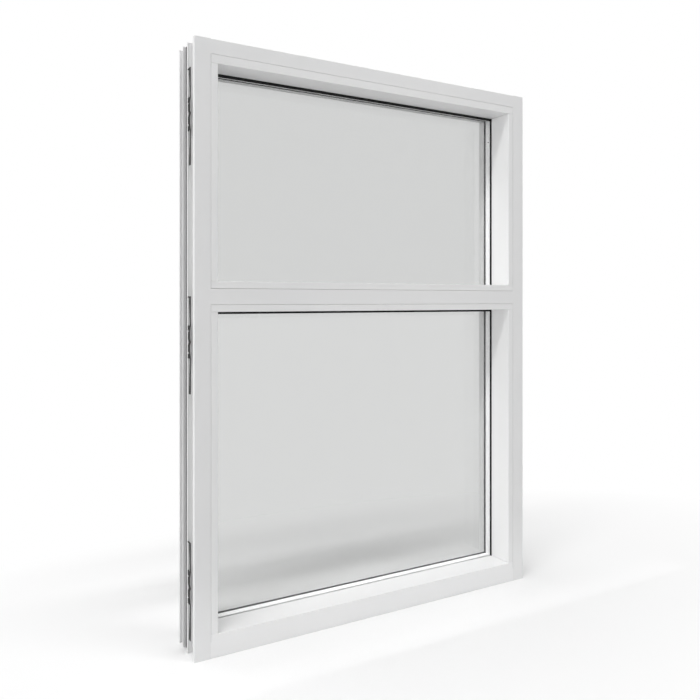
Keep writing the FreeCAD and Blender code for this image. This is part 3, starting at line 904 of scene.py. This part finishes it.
# %% [markdown]
# ## Lamps
#
# Three lamps light the window, and each has one task. One long, narrow strip hangs high at the
# front left, far enough away to light head and sill alike: because it is narrow from front to
# back, the head throws a crisp edge into the opening, and because it is long from side to side,
# the jamb's shadow on the sill is very soft. A tall narrow lamp at the left has a grid before it,
# which keeps its light in one narrow beam: it passes in front of the left jamb and brightens only
# the reveals that face it. A lit studio floor glows up at the foot of the frame, and more so than
# ours, so a low lamp as wide as the window and more gives that glow to the lowest hand's breadth.
# One big lamp in front would be simpler, but it would wash out every edge.

# %% Lamps
# The size is width by height, the target is the point that the lamp faces, and the beam is its
# angle in degrees
LAMPS = {
    "strip_lamp": {
        "size": (12.0, 0.6),
        "place": (-3.0, -2.6, 6.7),
        "target": (-3.0, 0.0, 0.9),
        "power": 445,
        "beam": 180,
        "mirrored": True,
    },
    "grid_lamp": {
        "size": (0.1, 1.7),
        "place": (-3.2, -0.9, 0.72),
        "target": (0.46, -0.03, 0.72),
        "power": 0.28,
        "beam": 7,
        "mirrored": True,
    },
    "foot_lamp": {
        "size": (1.8, 0.05),
        "place": (0.1, -0.27, 0.03),
        "target": (0.1, 0.0, 0.03),
        "power": 0.13,
        "beam": 100,
        "mirrored": False,
    },
}


def add_lamp(name, size, place, target, power, beam, mirrored):
    """A flat lamp with level upper and lower edges that faces a point."""
    data = bpy.data.lights.new(name, "AREA")
    data.shape = "RECTANGLE"
    data.size, data.size_y = size
    data.energy = power
    data.spread = math.radians(beam)
    lamp = bpy.data.objects.new(name, data)
    lamp.location = place
    facing = Vector(target) - Vector(place)
    lamp.rotation_euler = facing.to_track_quat("-Z", "Y").to_euler()
    # No lamp is seen itself, and the one close to the glass is not mirrored in it either
    lamp.visible_camera = False
    lamp.visible_transmission = False
    lamp.visible_glossy = mirrored
    bpy.context.scene.collection.objects.link(lamp)
    print(name, "at", place, "power", power)


for name, lamp in LAMPS.items():
    add_lamp(name, **lamp)

# %% [markdown]
# ## Room light
#
# The room gives the rest of the light, brighter from the left, from above and most of all from
# behind, where the backdrop is. It could be built as walls with lamps on them, but two strengths
# for each of the three directions give the world the same light with less noise. What the camera
# sees of the room is plain white, and gloss mirrors the white backdrop behind the window only.

# %% Room light
# Strength of the room from one end of each direction to the other
ROOM_LEFT_RIGHT = (0.9, 0.2)
ROOM_BELOW_ABOVE = (0.82, 1.0)
ROOM_FRONT_BACK = (0.2, 2.1)
# In gloss the plain room turns into the backdrop between these two, seen from the side
BACKDROP_FADE = (-0.2, 0.2)
WHITE = (1, 1, 1, 1)


def add_room():
    """Soft room light in front of a white backdrop."""
    world = bpy.data.worlds.new("room")
    world.use_nodes = True
    bpy.context.scene.world = world
    tree = world.node_tree
    way = tree.nodes.new("ShaderNodeTexCoord").outputs["Generated"]
    parts = tree.nodes.new("ShaderNodeSeparateXYZ")
    tree.links.new(way, parts.inputs[0])
    left = spread(tree, parts.outputs["X"], *ROOM_LEFT_RIGHT, start=-1, end=1)
    above = spread(tree, parts.outputs["Z"], *ROOM_BELOW_ABOVE, start=-1, end=1)
    behind = spread(tree, parts.outputs["Y"], *ROOM_FRONT_BACK, start=-1, end=1)
    level = combine(tree, "MULTIPLY", combine(tree, "MULTIPLY", left, above), behind)
    seen, mirrored = ray_kinds(tree)
    backdrop = spread(tree, parts.outputs["Y"], 0, 1, *BACKDROP_FADE)
    white_share = combine(tree, "MAXIMUM", seen, combine(tree, "MULTIPLY", mirrored, backdrop))
    strength = tree.nodes.new("ShaderNodeMix")
    tree.links.new(white_share, strength.inputs["Factor"])
    tree.links.new(level, strength.inputs["A"])
    strength.inputs["B"].default_value = 1
    background = tree.nodes["Background"]
    tree.links.new(strength.outputs["Result"], background.inputs["Strength"])
    background.inputs["Color"].default_value = WHITE
    print("room light from", ROOM_FRONT_BACK[0], "in front to", ROOM_FRONT_BACK[1], "behind")


add_room()
